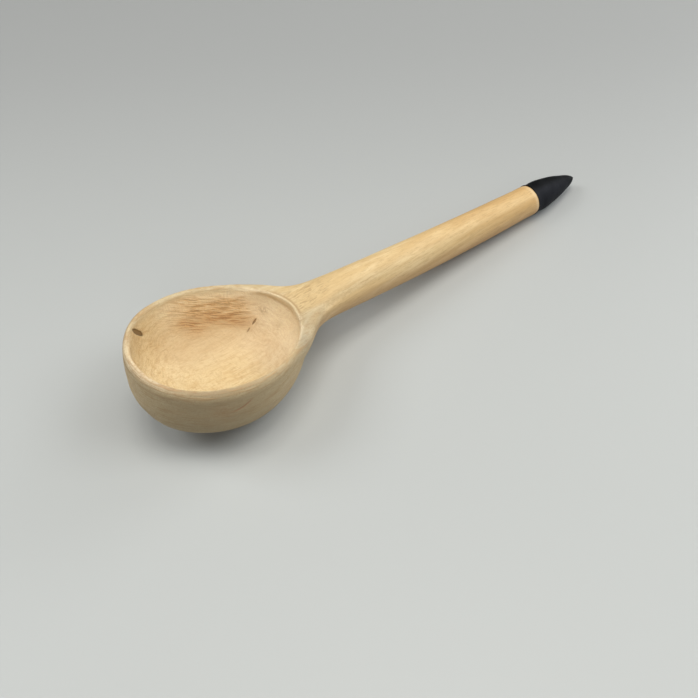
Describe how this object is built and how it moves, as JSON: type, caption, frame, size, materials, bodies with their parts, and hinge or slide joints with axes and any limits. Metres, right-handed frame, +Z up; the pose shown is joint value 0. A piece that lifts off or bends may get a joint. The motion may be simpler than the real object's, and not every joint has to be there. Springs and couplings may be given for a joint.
{
  "type": "carved wooden spoon",
  "caption": "Carved wooden spoon with a deep round bowl, a flared neck and a thick round handle that ends in a black coated point.",
  "frame": {"origin": "middle of the bottom of the bounding box, on the surface that the spoon lies on", "axes": "+X along the spoon from the bowl to the pointed end, +Z up as it lies at rest, +Y across the bowl"},
  "size_m": [0.2166, 0.0536, 0.0362],
  "materials": {
    "wood": "bare carved light wood, fine grain along the handle, smoothed but with tool marks in the bowl",
    "black_coat": "matt black paint dipped over the pointed end"
  },
  "bodies": {
    "root": {"spoon_body": "wood", "tip_coat": "black_coat"}
  },
  "joints": []
}
